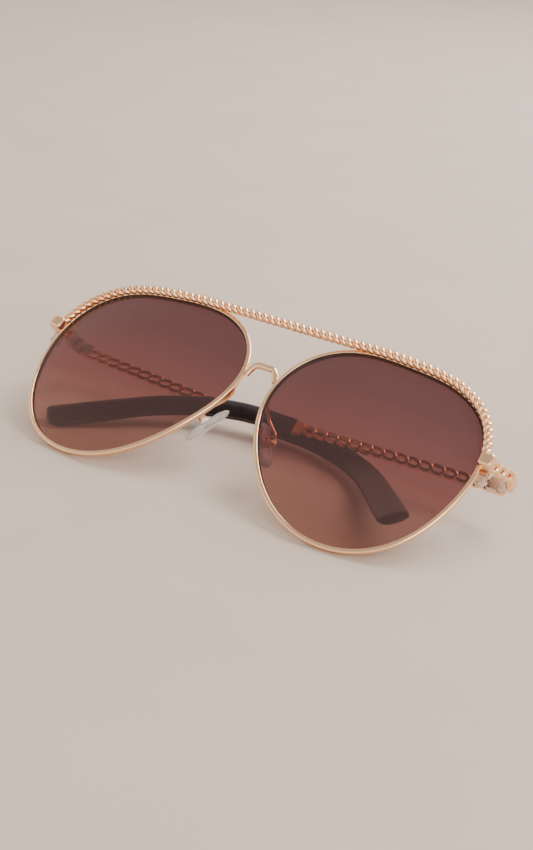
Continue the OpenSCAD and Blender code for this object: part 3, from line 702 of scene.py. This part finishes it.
rose_gold = metal("rose_gold", (1.0, 0.60, 0.33), (1.0, 0.66, 0.40), 0.12, 0.22)
steel = metal("rose_steel", (0.74, 0.58, 0.50), (0.80, 0.64, 0.55), 0.24, 0.36)
lens_tint = tinted_lens("tinted_lens")
black = plastic("black_plastic", (0.020, 0.017, 0.019), (0.030, 0.026, 0.028), 0.16, 0.26)
clear = silicone("clear_silicone")


def lens_heights(obj, side_points):
    """Stores how far up the lens each point lies, for the tint."""
    low, high = side_points[:, 1].min(), side_points[:, 1].max()
    layer = obj.data.attributes.new("lens_height", "FLOAT", "POINT")
    layer.data.foreach_set("value", ((side_points[:, 1] - low) / (high - low)).astype(np.float32))


for side, sign in SIDES.items():
    finish_piece(make("rim_wire_" + side, rim_shape(), sign, lens_to_front), rose_gold, "front", "rim_" + side)
    shape = lens_shape()
    lens = make("lens_glass_" + side, shape, sign, lens_to_front)
    lens_heights(lens, np.concatenate(shape.points))
    finish_piece(lens, lens_tint, "front", "lens_" + side)
    finish_piece(make("corner_" + side, end_piece_shape(), sign), rose_gold, "front", "end_piece_" + side)
    temple = "temple_" + side
    chain = make("chain_" + side, temple_chain_shape(FOLD[side]), sign)
    finish_piece(chain, rose_gold, temple, "temple_chain_" + side)
    tip = make("tip_" + side, tip_shape(FOLD[side], TIP_TUCK[side]), sign)
    finish_piece(tip, black, temple, "temple_tip_" + side)
    finish_piece(make("pad_" + side, pad_shape(), sign), clear, "nose_pad_" + side, "nose_pad_" + side)

finish_piece(make("rope_bar", brow_bar_shape()), rose_gold, "front", "brow_bar")
finish_piece(make("bridge_wire", bridge_shape()), rose_gold, "front", "bridge")

# Width of the bevel on the small metal pieces, in metres.
SOFT_EDGE = 0.00006
GOLD_NODES = ("pad_arm",)
STEEL_NODES = ("rim_lock_upper", "rim_lock_lower", "rim_screw", "hinge_front", "hinge_rear", "hinge_screw",
               "pad_screw", "pad_boss", "temple_core")
for names, material in ((GOLD_NODES, rose_gold), (STEEL_NODES, steel)):
    for stem in names:
        for side in SIDES:
            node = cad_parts[f"{stem}_{side}"]
            node.data.materials.clear()
            node.data.materials.append(material)
            softened = node.modifiers.new("soft_edges", "BEVEL")
            softened.width, softened.segments, softened.limit_method = SOFT_EDGE, 2, "ANGLE"


# ---------------------------------------------------------------- floor, light and camera

FLOOR_HALF = 1.6
floor_mesh = bpy.data.meshes.new("floor")
corners = [(FLOOR_HALF * x, FLOOR_HALF * y, 0) for x, y in ((-1, -1), (1, -1), (1, 1), (-1, 1))]
floor_mesh.from_pydata(corners, [], [(0, 1, 2, 3)])
floor = bpy.data.objects.new("floor", floor_mesh)
bpy.context.scene.collection.objects.link(floor)
floor.data.materials.append(floor_material())


def soft_lamp(name, at, size, power, colour):
    """A square area lamp that faces the glasses."""
    data = bpy.data.lights.new(name, "AREA")
    data.size, data.energy, data.color = size, power, colour
    lamp = bpy.data.objects.new(name, data)
    lamp.location = at
    lamp.rotation_euler = (-Vector(at)).to_track_quat("-Z", "Y").to_euler()
    bpy.context.scene.collection.objects.link(lamp)
    return lamp


soft_lamp("window", (0.3, 0.9, 0.9), 0.9, 26, (1.0, 0.97, 0.93))
soft_lamp("fill", (0.8, -0.5, 0.7), 0.8, 6, (1.0, 0.96, 0.92))

world = bpy.data.worlds.new("studio")
world.use_nodes = True
sky = world.node_tree
where = sky.nodes.new("ShaderNodeTexCoord")
split = sky.nodes.new("ShaderNodeSeparateXYZ")
sky.links.new(where.outputs["Generated"], split.inputs[0])
sky.links.new(colour_between(sky, split.outputs["Z"], (1.0, 0.95, 0.89), (0.42, 0.39, 0.36), 0.10, 0.80),
              sky.nodes["Background"].inputs["Color"])
sky.nodes["Background"].inputs["Strength"].default_value = 1.5
bpy.context.scene.world = world

# The camera, in the front's frame: where it is, where it looks and which way is up.
CAMERA_AT = (178.53, -158.06, 273.60)
CAMERA_AHEAD = (-0.469, 0.429, -0.772)
CAMERA_UP = (-0.281, 0.756, 0.592)
ahead = Vector(turn_x(REST_TILT) @ CAMERA_AHEAD).normalized()
right = ahead.cross(Vector(turn_x(REST_TILT) @ CAMERA_UP)).normalized()
up = right.cross(ahead)
camera_data = bpy.data.cameras.new("camera")
camera_data.lens = 58.65
camera_data.clip_start, camera_data.clip_end = 0.01, 10
camera = bpy.data.objects.new("camera", camera_data)
camera.matrix_world = Matrix.Translation(Vector(to_row(CAMERA_AT))) @ Matrix((right, up, -ahead)).transposed().to_4x4()
bpy.context.scene.collection.objects.link(camera)
bpy.context.scene.camera = camera
